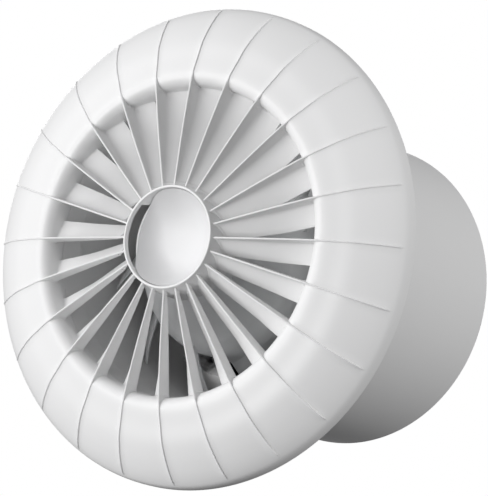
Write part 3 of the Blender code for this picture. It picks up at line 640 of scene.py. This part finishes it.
def make_carrier():
    """Plate with a hub and three ribbed arms, and holes for its own screws and the motor's grommets."""
    plate = turned_ring("carrier_moulding", 8.0, 25.0, PLATE_FRONT, PLATE_REAR, (0.4, 0.5, 0.5, 0.4), 144)
    for clock in CARRIER_ANGLES:
        arm = rounded_box("arm", (-3.5, PLATE_FRONT, 20.0), (3.5, PLATE_REAR, 46.4), 0.6)
        rib = rounded_box("rib", (-0.9, 68.0, 9.2), (0.9, 71.3, 39.2), 0.5)
        plate = join(plate, turn_to(arm, clock), turn_to(rib, clock))
    for clock in CARRIER_ANGLES:
        plate = cut(plate, drilled(1.7, PLATE_FRONT, PLATE_REAR, polar(CARRIER_CIRCLE, clock), 0.2))
    for side in (-1, 1):
        plate = cut(plate, drilled(4.3, PLATE_FRONT, PLATE_REAR, (side * MOTOR_FIXING_X, 0), 0.1))
    plate = join(plate, turned_ring("hub", 8.0, 9.6, PLATE_FRONT, 71.3, (0.3, 0, 0.4, 0.4), 96))
    finish_piece(plate, "casing", "casing_white", CASING_WHITE, "motor_carrier")


# --- fasteners ---

def drive(screw, centre, low, high, half_span, half_width, slots=2):
    """Cut a slot or a cross recess into a screw head, between two depths."""
    for k in range(slots):
        blade = rounded_box("driver", (-half_span, low, -half_width), (half_span, high, half_width), 0)
        turn = Matrix.Rotation(0.6 + math.pi / 2 * k, 4, "Y")
        blade.data.transform(Matrix.Translation(Vector((centre[0], 0, centre[-1])) * MM) @ turn)
        screw = cut(screw, blade)
    return screw


def make_screws():
    """Carrier screws, the motor's screws with their nuts, spacers and grommets, and the cover's screw."""
    for i, clock in enumerate(CARRIER_ANGLES):
        spot = polar(CARRIER_CIRCLE, clock)
        shank = [(1.4, y) for y in depths(60.8, 69.5, 0.16)]
        head = rounded([(1.4, 69.6, 0), (2.8, 69.6, 0.1), (2.8, 71.6, 1.3), (0, 71.6, 0)], 6)
        screw = lathe(f"carrier_screw_{i + 1}_turned", [(0, 60.2)] + shank + head, 40, spot,
                      thread(1.4, 1.0, 0.3, 60.8, 69.0))
        screw = drive(screw, spot, 70.3, 72.0, 1.5, 0.32)
        finish_piece(screw, "casing", "plated_steel", STEEL, f"carrier_screw_{i + 1}")
    for i, side in enumerate((-1, 1)):
        spot = (side * MOTOR_FIXING_X, 0)
        head = rounded([(0, 34.2, 0), (2.8, 34.2, 1.1), (2.8, 36.0, 0.1), (1.5, 36.0, 0)], 6)
        shank = [(1.5, y) for y in [36.1] + depths(60.0, 74.3, 0.09)]
        screw = lathe(f"motor_screw_{i + 1}_turned", head + shank + [(1.2, 74.6), (0, 74.8)], 36, spot,
                      thread(1.5, 0.5, 0.22, 60.0, 74.3))
        screw = drive(screw, spot, 33.8, 35.3, 1.5, 0.3)
        finish_piece(screw, "casing", "plated_steel", STEEL, f"motor_screw_{i + 1}")
        make_nut(i, spot)
        spacer = turned_ring(f"motor_spacer_{i + 1}_turned", 1.8, 3.0, 56.0, 64.2, (0.2, 0.3, 0.3, 0.2),
                             48, spot)
        finish_piece(spacer, "casing", "nylon", NYLON, f"motor_spacer_{i + 1}")
        bush = rounded([(1.8, 64.5, 0.3), (5.6, 64.5, 0.6), (5.6, 66.0, 0.2), (4.0, 66.0, 0.1),
                        (4.0, 69.6, 0.1), (5.6, 69.6, 0.2), (5.6, 71.1, 0.6), (1.8, 71.1, 0.3)])
        grommet = lathe(f"motor_grommet_{i + 1}_turned", bush, 64, spot)
        finish_piece(grommet, "casing", "rubber", RUBBER, f"motor_grommet_{i + 1}")
    spot = (COVER_SCREW_X, COVER_SCREW_Z)
    head = rounded([(0, -6.5, 0), (2.7, -6.5, 1.2), (2.7, -4.7, 0.1), (1.3, -4.7, 0)], 6)
    shank = [(1.3, y) for y in depths(-4.6, -1.0, 0.12)]
    screw = lathe("cover_screw_turned", head + shank + [(0, -0.5)], 40, spot,
                  thread(1.3, 0.8, 0.25, -4.4, -1.0))
    screw = drive(screw, spot, -7.0, -5.4, 1.4, 0.3)
    finish_piece(screw, "casing", "plated_steel", STEEL, "terminal_cover_screw")


def make_nut(i, spot):
    """Hexagon nut with chamfered corners and a threaded bore."""
    nut = lathe(f"motor_nut_{i + 1}_cut", [(0, 71.4), (3.2, 71.4), (3.2, 73.8), (0, 73.8)], 6, spot)
    crown = [(0, 71.4), (2.75, 71.4), (3.22, 71.7), (3.22, 73.5), (2.75, 73.8), (0, 73.8)]
    nut = boolean(nut, [lathe("crown", crown, 48, spot)], "INTERSECT")
    hole = [(0, 70.0)] + [(1.8, y) for y in depths(71.0, 74.2, 0.1)] + [(0, 75.0)]
    nut = cut(nut, lathe("tap", hole, 32, spot, thread(1.8, 0.5, 0.15, 71.0, 74.2)))
    finish_piece(nut, "casing", "plated_steel", STEEL, f"motor_nut_{i + 1}", angle=24)


# --- motor ---

def make_core():
    """Stack of sheets with a bore, a winding window, screw holes and slots for the shading rings."""
    outline = rounded([(-22, -29, 2.0), (22, -29, 2.0), (22, 16, 3.0), (-22, 16, 3.0)], 5)
    inner = offset(outline, -0.07)
    sections = []
    for k in range(CORE_SHEETS):
        front = CORE_FRONT + SHEET * k
        for depth, loop in ((front, inner), (front + 0.05, outline), (front + 0.45, outline)):
            sections.append([(x, depth, z) for x, z in loop])
    sections.append([(x, CORE_FRONT + SHEET * CORE_SHEETS, z) for x, z in inner])
    core = solid_loft("stator_stack", sections)
    window = rounded([(-13, -22, 1.0), (13, -22, 1.0), (13, -16, 1.0), (-13, -16, 1.0)])
    core = cut(core, lathe("bore", [(0, 36), (11, 36), (11, 56), (0, 56)], 96),
               prism("window", window, 36, 56))
    for side in (-1, 1):
        hole = [(0, 36), (1.9, 36), (1.9, 56), (0, 56)]
        core = cut(core, lathe("hole", hole, 32, (side * MOTOR_FIXING_X, 0)))
    for angle in SHADING_ANGLES:
        for radius in (12.0, 16.6):
            spot = (radius * math.cos(math.radians(angle)), -radius * math.sin(math.radians(angle)))
            core = cut(core, lathe("slot", [(0, 36), (1.3, 36), (1.3, 56), (0, 56)], 24, spot))
    finish_piece(core, "casing", "lamination_steel", LAMINATION, "stator_core", angle=20)


def make_shading_rings():
    """Closed copper loops through the core beside its bore."""
    for i, angle in enumerate(SHADING_ANGLES):
        out = Vector((math.cos(math.radians(angle)), 0, -math.sin(math.radians(angle))))
        corners = rounded([(12.2, 36.7, 1.1), (16.6, 36.7, 1.1), (16.6, 55.3, 1.1), (12.2, 55.3, 1.1)], 4)
        path = [out * radius + Vector((0, depth, 0)) for radius, depth in corners]
        loop = tube(f"shading_ring_{i + 1}_loop", path, 0.78, 16, out.cross(Vector((0, 1, 0))), closed=True)
        finish_piece(loop, "casing", "copper", COPPER, f"shading_ring_{i + 1}")


def make_coil():
    """Bobbin and its layer of enamelled wire, wound round the lower limb of the core."""
    bobbin = rounded_box("bobbin_moulding", (-12.4, 36.8, -30.2), (12.4, 55.2, -20.8), 0.6)
    for side in (-1, 1):
        cheek = rounded_box("cheek", (side * 11.9 - 0.5, 31.6, -34.5), (side * 11.9 + 0.5, 60.4, -16.5), 0.3)
        bobbin = join(bobbin, cheek)
    bobbin = cut(bobbin, rounded_box("limb_hole", (-14, 37.7, -29.3), (14, 54.3, -21.7), 0))
    finish_piece(bobbin, "casing", "black_nylon", BLACK_NYLON, "coil_bobbin")
    outer = rounded([(32.7, -33.5, 3.2), (59.3, -33.5, 3.2), (59.3, -17.5, 3.2), (32.7, -17.5, 3.2)], 6)
    bore = rounded([(36.5, -30.5, 0.8), (55.5, -30.5, 0.8), (55.5, -20.5, 0.8), (36.5, -20.5, 0.8)], 6)
    turns, samples, half = 40, 5, 11.0
    sections = []
    for i in range(turns * samples + 1):
        x = -half + 2 * half * i / (turns * samples)
        groove = 0.2 * (1 - abs(math.sin(math.pi * i / samples)) ** 0.7)
        sections.append([(x, y, z) for y, z in offset(outer, -groove)])
    for x in (half, -half):
        sections.append([(x, y, z) for y, z in bore])
    winding = new_mesh("coil_wire", [v for section in sections for v in section], loft(sections, ring=True))
    finish_piece(winding, "casing", "copper", COPPER, "coil_winding", angle=60)


def make_tape():
    """Black tape once round the winding, its outer end lying over the inner one underneath."""
    path = rounded([(45.7, -34.05, 0), (59.85, -34.05, 3.4), (59.85, -16.95, 3.4), (32.15, -16.95, 3.4),
                    (32.15, -34.05, 3.4), (45.1, -34.05, 0)], 6)
    loop = band(path, 0.5)
    sections, steps, spacing = [], 36, 0.6
    for i in range(steps + 1):
        x = -10.8 + spacing * i
        wave = 0.03 * math.sin(2.1 * x) + 0.02 * math.sin(5.3 * x)
        edge = -0.12 if i in (0, steps) else 0.0
        sections.append([(x, y, z) for y, z in offset(loop, wave + edge)])
    tape = solid_loft("coil_tape_wrap", sections)
    finish_piece(tape, "casing", "insulating_tape", TAPE, "coil_tape", angle=50)


def band(points, thickness):
    """Closed outline of an even strip along a line of points in one plane."""
    left, right = [], []
    for i, point in enumerate(points):
        run = (Vector(points[min(i + 1, len(points) - 1)]) - Vector(points[max(i - 1, 0)])).normalized()
        aside = Vector((-run.y, run.x)) * thickness / 2
        left.append(tuple(Vector(point) + aside))
        right.append(tuple(Vector(point) - aside))
    return left + right[::-1]


def make_bracket(name, foot, strap, boss_front, boss_rear):
    """Pressed strap with a foot on each side of the core and a drawn boss for the bearing."""
    line = rounded([(-22, foot, 0), (-14.4, foot, 1.2), (-12, strap, 1.2), (12, strap, 1.2),
                    (14.4, foot, 1.2), (22, foot, 0)], 5)
    loop = band(line, 1.4)
    small = offset(loop, -0.12)
    levels = ((-7, small), (-6.88, loop), (6.88, loop), (7, small))
    sections = [[(x, y, z) for x, y in shape] for z, shape in levels]
    bracket = solid_loft(f"{name}_pressing", sections)
    blank = rounded([(-22, -7, 3.5), (22, -7, 3.5), (22, 7, 3.5), (-22, 7, 3.5)], 6)
    bracket = boolean(bracket, [prism("blank", blank, 20, 75)], "INTERSECT")
    bracket = cut(bracket, lathe("bore", [(0, 20), (5.6, 20), (5.6, 70), (0, 70)], 64))
    bracket = join(bracket, turned_ring("boss", 4.8, 6.8, boss_front, boss_rear, (0.3, 0.7, 0.7, 0.3), 96))
    for side in (-1, 1):
        bracket = cut(bracket, drilled(1.9, foot - 0.7, foot + 0.7, (side * MOTOR_FIXING_X, 0), 0.15))
    finish_piece(bracket, "casing", "zinc_strip", ZINC, name)


def ring_piece(name, body, slot, coat, inner, outer, start, end, fillet, steps=96, swell=None):
    """Turned ring with even fillets that replaces the CAD node of this name."""
    shape = turned_ring(f"{name}_turned", inner, outer, start, end, [fillet] * 4, steps, swell=swell)
    finish_piece(shape, body, slot, coat, name)


def make_rotating_group():
    """The two bearings, and the shaft with the rotor, thrust washers and impeller clip on it."""
    for name, start in (("front_bearing", 26.0), ("rear_bearing", 60.0)):
        ring_piece(name, "casing", "bronze", BRONZE, 2.3, 4.5, start, start + 6, 0.4)
    shaft = rounded([(0, 4.6, 0), (2, 4.6, 0.4), (2, 33.5, 0.1), (3, 33.5, 0.2), (3, 58.5, 0.2),
                     (2, 58.5, 0.1), (2, 67.6, 0.4), (0, 67.6, 0)], 3)
    finish_piece(lathe("shaft_turned", shaft, 48), "rotor", "plated_steel", STEEL, "motor_shaft")
    sheets = []
    for k in range(ROTOR_SHEETS):
        front = ROTOR_FRONT + SHEET * k
        sheets += [(10.44, front), (10.5, front + 0.05), (10.5, front + 0.45)]
    rear = ROTOR_FRONT + SHEET * ROTOR_SHEETS
    stack = lathe("rotor_stack", [(3.3, ROTOR_FRONT)] + sheets + [(10.44, rear), (3.3, rear)], 192,
                  swell=lambda r, y, a: -0.25 * max(0, math.cos(17 * a + 0.09 * y) - 0.86) / 0.14 * (r > 10))
    finish_piece(stack, "rotor", "lamination_steel", LAMINATION, "rotor_core", angle=20)
    for name, start in (("rotor_end_ring_front", 36.4), ("rotor_end_ring_rear", 53.8)):
        ring_piece(name, "rotor", "aluminium", ALUMINIUM, 6.0, 9.8, start, start + 1.8, 0.3, 170,
                   lambda r, y, a: -0.3 * max(0, math.cos(17 * a)) ** 8 * (r > 9))
    for name, start in (("thrust_washer_front", 32.4), ("thrust_washer_rear", 58.8)):
        ring_piece(name, "rotor", "fibre", FIBRE, 2.3, 4.0, start, start + 0.8, 0.12, 64)
    clip = lathe("clip_pressing", rounded([(2.3, 5.9, 0.1), (3.0, 5.9, 0.3), (4.4, 6.3, 0.1), (4.4, 6.7, 0.1),
                                           (3.0, 6.4, 0.3), (2.3, 6.35, 0.1)]), 96)
    for k in range(6):
        clip = cut(clip, turn_to(rounded_box("slit", (-0.25, 5, 1.5), (0.25, 7, 3.5), 0), 60 * k))
    finish_piece(clip, "rotor", "plated_steel", STEEL, "impeller_clip")


# --- impeller ---

HUB_RADIUS = 32.0
BLADES = 10
BLADE_TIP = 45.6
BLADE_FRONT, BLADE_REAR = 14.0, 28.2
BLADE_PITCH = math.radians(49)
BLADE_ROOT_ANGLE = 168
BLADE_LEAN = 1.1
BLADE_CORNER = 3.2
POCKET_ANGLES = (142, 262, 22)
POCKET_CIRCLE = 10.8


def blade_section(radius, clock):
    """Closed loop round a blade at one radius: rounded nose, slight camber, thinner towards the tip."""
    into = max(0.0, radius - (BLADE_TIP - BLADE_CORNER)) / BLADE_CORNER
    trim = BLADE_CORNER * (1 - math.sqrt(max(0.0, 1 - into * into)))
    front, rear = BLADE_FRONT + trim, BLADE_REAR - trim
    half = 0.85 - 0.3 * (radius - HUB_RADIUS) / (BLADE_TIP - HUB_RADIUS)
    away = (radius - HUB_RADIUS) / 1.5
    if away < 1:
        half += 0.9 * (1 - math.sqrt(1 - (1 - max(away, 0.0)) ** 2))
    line = []
    for i in range(13):
        t = i / 12
        depth = front + (rear - front) * t
        share = (depth - BLADE_FRONT) / (BLADE_REAR - BLADE_FRONT)
        side = (depth - BLADE_FRONT) * math.tan(BLADE_PITCH) - 0.7 * math.sin(math.pi * share)
        line.append((depth, side, half * math.sqrt(max(0.04, 1 - (2 * t - 1) ** 6))))
    loop = []
    for sign in (1, -1):
        run = line if sign == 1 else line[::-1]
        for depth, side, thick in run:
            loop.append((depth - sign * thick * math.sin(BLADE_PITCH),
                         side + sign * thick * math.cos(BLADE_PITCH)))
    lean = clock - BLADE_LEAN * (radius - HUB_RADIUS)
    return [polar(radius, lean + math.degrees(side / radius), depth) for depth, side in loop]


def make_impeller():
    """Cup-shaped hub with ribs inside, a boss for the shaft, the blades and three pockets in its face."""
    outer_arc = [math.radians(5 * i) for i in range(19)]
    inner_arc = [math.radians(9 * i) for i in range(10, -1, -1)]
    corner = [(26 + 6 * math.sin(a), 13 - 6 * math.cos(a)) for a in outer_arc]
    inside = [(26 + 4.3 * math.sin(a), 13 - 4.3 * math.cos(a)) for a in inner_arc]
    outline = [(2.3, 7.0), (15, 7.0)] + corner
    outline += [(32, 28.6), (31.7, 29.0), (30.6, 29.0), (30.3, 28.7)] + inside
    outline += [(5.6, 8.7), (5.0, 9.4), (5.0, 23.2), (4.7, 23.5), (2.6, 23.5), (2.3, 23.2)]
    impeller = lathe("impeller_moulding", outline, 180)
    for k in range(6):
        rib = rounded_box("rib", (-0.6, 8.0, 4.6), (0.6, 15.0, 30.8), 0.3)
        impeller = join(impeller, turn_to(rib, 60 * k + 22))
    radii = [31.2, 32.05, 32.4, 32.8, 33.5, 35, 38, 41, 42.4, 43.6, 44.5, 45.1, 45.45, 45.6]
    for k in range(BLADES):
        clock = BLADE_ROOT_ANGLE + 360 / BLADES * k
        impeller = join(impeller, solid_loft("blade", [blade_section(r, clock) for r in radii]))
    pocket = rounded([(0, 5, 0), (2.4, 5, 0), (2.4, 8.0, 0.4), (0, 8.0, 0)])
    for clock in POCKET_ANGLES:
        impeller = cut(impeller, lathe("pocket", pocket, 40, polar(POCKET_CIRCLE, clock)))
    finish_piece(impeller, "rotor", "impeller_white", IMPELLER_WHITE, "impeller")


# --- wiring ---

def make_terminals():
    """Two-way terminal block and its screws."""
    block = rounded_box("terminal_moulding", (-10, -8.9, -61), (10, -2.9, -52), 0.5)
    for number, side in ((1, -1), (2, 1)):
        spot = (side * 5.0, -58.0)
        well = lathe("well", [(0, -12), (1.9, -12), (1.9, -4.6), (0, -4.6)], 40, spot)
        entry = rounded_box("entry", (side * 5.0 - 1.1, -7.2, -55), (side * 5.0 + 1.1, -5.0, -50), 0.4)
        relief = rounded_box("relief", (side * 9.4 - 0.9, -10, -59.5), (side * 9.4 + 0.9, -6.4, -53.5), 0.4)
        block = cut(block, well, entry, relief)
        outline = rounded([(0, -9.2, 0), (1.6, -9.2, 0.35), (1.6, -4.9, 0.2), (0, -4.9, 0)])
        screw = lathe(f"terminal_screw_{number}_turned", outline, 40, spot)
        screw = drive(screw, spot, -9.8, -8.5, 2.0, 0.28, 1)
        finish_piece(screw, "casing", "brass", BRASS, f"terminal_screw_{number}")
    block = cut(block, rounded_box("split", (-0.7, -10, -62), (0.7, -7.4, -51), 0.3))
    finish_piece(block, "casing", "nylon", NYLON, "terminal_block")


def make_terminal_cover():
    """Fluted cap over the terminals, with a screw lug and openings for the leads and the cable."""
    cover = rounded_box("terminal_cover_moulding", (-12.2, -10.4, -62.4), (12.2, -2.9, -50.4), 0.9)
    cover = join(cover, rounded_box("lug", (11.6, -4.4, -60.0), (18.0, -2.9, -54.0), 0.5))
    cover = cut(cover, rounded_box("inside", (-11.2, -9.5, -61.4), (11.2, -0.9, -51.4), 0.5),
                rounded_box("lead_notch", (-6.8, -8.4, -52.0), (6.8, -0.9, -49.0), 0.4),
                rounded_box("cable_notch", (-14.0, -8.4, -59.5), (-11.0, -0.9, -53.5), 0.4),
                drilled(1.6, -4.4, -2.9, (COVER_SCREW_X, COVER_SCREW_Z), 0.15))
    for x in (-8.0, -4.0, 0.0, 4.0, 8.0):
        cover = cut(cover, rounded_box("flute", (x - 0.35, -10.9, -60.2), (x + 0.35, -10.15, -52.6), 0.12))
    finish_piece(cover, "casing", "casing_white", CASING_WHITE, "terminal_cover")


def make_cable_grommet():
    outline = rounded([(3.2, -0.2, 0.3), (4.9, -0.2, 0.4), (4.9, -2.9, 0.1), (6.6, -2.9, 0.2),
                       (6.6, -4.1, 0.3), (5.8, -4.8, 0.4), (3.2, -4.8, 0.4)])
    grommet = lathe("cable_grommet_turned", outline, 72, GROMMET_SPOT)
    finish_piece(grommet, "casing", "rubber", RUBBER, "cable_grommet")


def make_leads():
    """Two insulated leads from the bobbin, along the groove in the duct wall, to the terminals."""
    groove = -47.65
    for name, side, coat, slot in (("coil_lead_live", 1, BROWN, "brown_sleeving"),
                                   ("coil_lead_neutral", -1, BLUE, "blue_sleeving")):
        near = side * 1.1
        route = [(near, 50.0, -35.4), (near, 51.6, -38.6), (near, 51.6, -43.0), (near, 49.4, -46.4),
                 (near, 46.0, groove), (near, 30.0, groove), (near, 14.0, groove), (near, -1.0, groove),
                 (near, -3.4, groove), (near, -5.9, -50.0), (side * 3.0, -6.1, -50.4),
                 (side * 4.8, -6.1, -51.2), (side * 5.0, -6.1, -52.6), (side * 5.0, -6.1, -54.4)]
        lead = tube(f"{name}_sleeve", smooth_path(route, 6), 0.5, 14, (side * 0.2, 1, 0.35))
        finish_piece(lead, "casing", slot, coat, name, angle=60)


# --- staging ---

def make_floor():
    """Plain pale floor, well below so that it never hides the underside; it throws no light back up."""
    half, level, steps = 6.0, -2.4, 24
    verts = [(half * (2 * i / steps - 1), half * (2 * j / steps - 1), level)
             for i in range(steps + 1) for j in range(steps + 1)]
    width = steps + 1
    faces = [(i * width + j, (i + 1) * width + j, (i + 1) * width + j + 1, i * width + j + 1)
             for i in range(steps) for j in range(steps)]
    mesh = bpy.data.meshes.new("floor")
    mesh.from_pydata(verts, [], faces)
    floor = bpy.data.objects.new("floor", mesh)
    bpy.context.scene.collection.objects.link(floor)
    coat, tree, shader = new_material("floor_paint", (0.86, 0.86, 0.86), 0.8)
    tree.links.new(ramp(tree, noise(tree, 1.5), [(0.3, (0.84, 0.84, 0.84)), (0.7, (0.88, 0.88, 0.88))]),
                   shader.inputs["Base Color"])
    mesh.materials.append(coat)
    floor.visible_diffuse = False
    floor.visible_glossy = False


def area_light(name, spot, target, size, power):
    lamp = bpy.data.lights.new(name, "AREA")
    lamp.shape = "DISK"
    lamp.size = size
    lamp.energy = power
    light = bpy.data.objects.new(name, lamp)
    bpy.context.scene.collection.objects.link(light)
    light.location = spot
    light.rotation_euler = (Vector(target) - Vector(spot)).to_track_quat("-Z", "Y").to_euler()
    return light


SOFT_LIGHT_FROM = Vector((-0.42, -0.80, 0.43))
WORLD_STRENGTH = 0.78


def make_world():
    """Soft room light, brightest from the front, upper left; the camera itself sees plain white."""
    world = bpy.data.worlds.new("studio")
    bpy.context.scene.world = world
    world.use_nodes = True
    tree = world.node_tree
    tree.nodes.clear()
    place = tree.nodes.new("ShaderNodeTexCoord")
    toward = tree.nodes.new("ShaderNodeVectorMath")
    toward.operation = "DOT_PRODUCT"
    toward.inputs[1].default_value = SOFT_LIGHT_FROM.normalized()
    tree.links.new(place.outputs["Generated"], toward.inputs[0])
    shift = tree.nodes.new("ShaderNodeMapRange")
    shift.inputs["From Min"].default_value = -1.0
    tree.links.new(toward.outputs["Value"], shift.inputs["Value"])
    levels = [(0.0, 0.04), (0.3, 0.09), (0.5, 0.25), (0.7, 0.54), (0.85, 0.8), (1.0, 0.9)]
    sky = ramp(tree, shift.outputs["Result"], [(at, (level, level, level * 1.01)) for at, level in levels])
    room = tree.nodes.new("ShaderNodeBackground")
    room.inputs["Strength"].default_value = WORLD_STRENGTH
    tree.links.new(sky, room.inputs["Color"])
    white = tree.nodes.new("ShaderNodeBackground")
    white.inputs["Color"].default_value = (1, 1, 1, 1)
    path = tree.nodes.new("ShaderNodeLightPath")
    mix = tree.nodes.new("ShaderNodeMixShader")
    tree.links.new(path.outputs["Is Camera Ray"], mix.inputs["Fac"])
    tree.links.new(room.outputs["Background"], mix.inputs[1])
    tree.links.new(white.outputs["Background"], mix.inputs[2])
    out = tree.nodes.new("ShaderNodeOutputWorld")
    tree.links.new(mix.outputs["Shader"], out.inputs["Surface"])


def make_camera():
    """Camera low to the right, as the object is seen from slightly below."""
    lens = bpy.data.cameras.new("camera")
    lens.lens = 332.8
    lens.sensor_width = 36.0
    lens.clip_end = 30.0
    camera = bpy.data.objects.new("camera", lens)
    bpy.context.scene.collection.objects.link(camera)
    target = Vector((0.01204, 0.00192, -0.00062))
    back = Vector((0.53126, -0.82338, -0.19955))
    distance = 1.4187
    camera.location = target + back * distance
    camera.rotation_euler = (-back).to_track_quat("-Z", "Y").to_euler()
    bpy.context.scene.camera = camera


def make_studio():
    """Floor, world, camera and four soft lights; the side light leaves no glint on the bell's rim."""
    make_floor()
    make_world()
    make_camera()
    area_light("key", (-1.9, -2.0, 1.2), (0, 0, 0), 1.6, 16)
    area_light("front", (-0.8, -2.6, -0.3), (0, 0, 0), 1.6, 34)
    side = area_light("side", (2.35, 0.85, 0.15), (0, 0.04, 0), 0.7, 34)
    side.visible_glossy = False
    area_light("rear_fill", (-1.8, 2.2, 1.2), (0, 0.04, 0), 1.2, 10)
    bpy.context.scene.view_settings.view_transform = "Standard"


# --- build ---

make_grille()
make_hub_cap()
make_casing()
make_carrier()
make_screws()
make_core()
make_shading_rings()
make_coil()
make_tape()
make_bracket("front_bearing_bracket", 37.0, 31.3, 25.0, 32.6)
make_bracket("rear_bearing_bracket", 55.0, 60.7, 59.4, 66.6)
make_rotating_group()
make_impeller()
make_terminals()
make_terminal_cover()
make_cable_grommet()
make_leads()
make_studio()
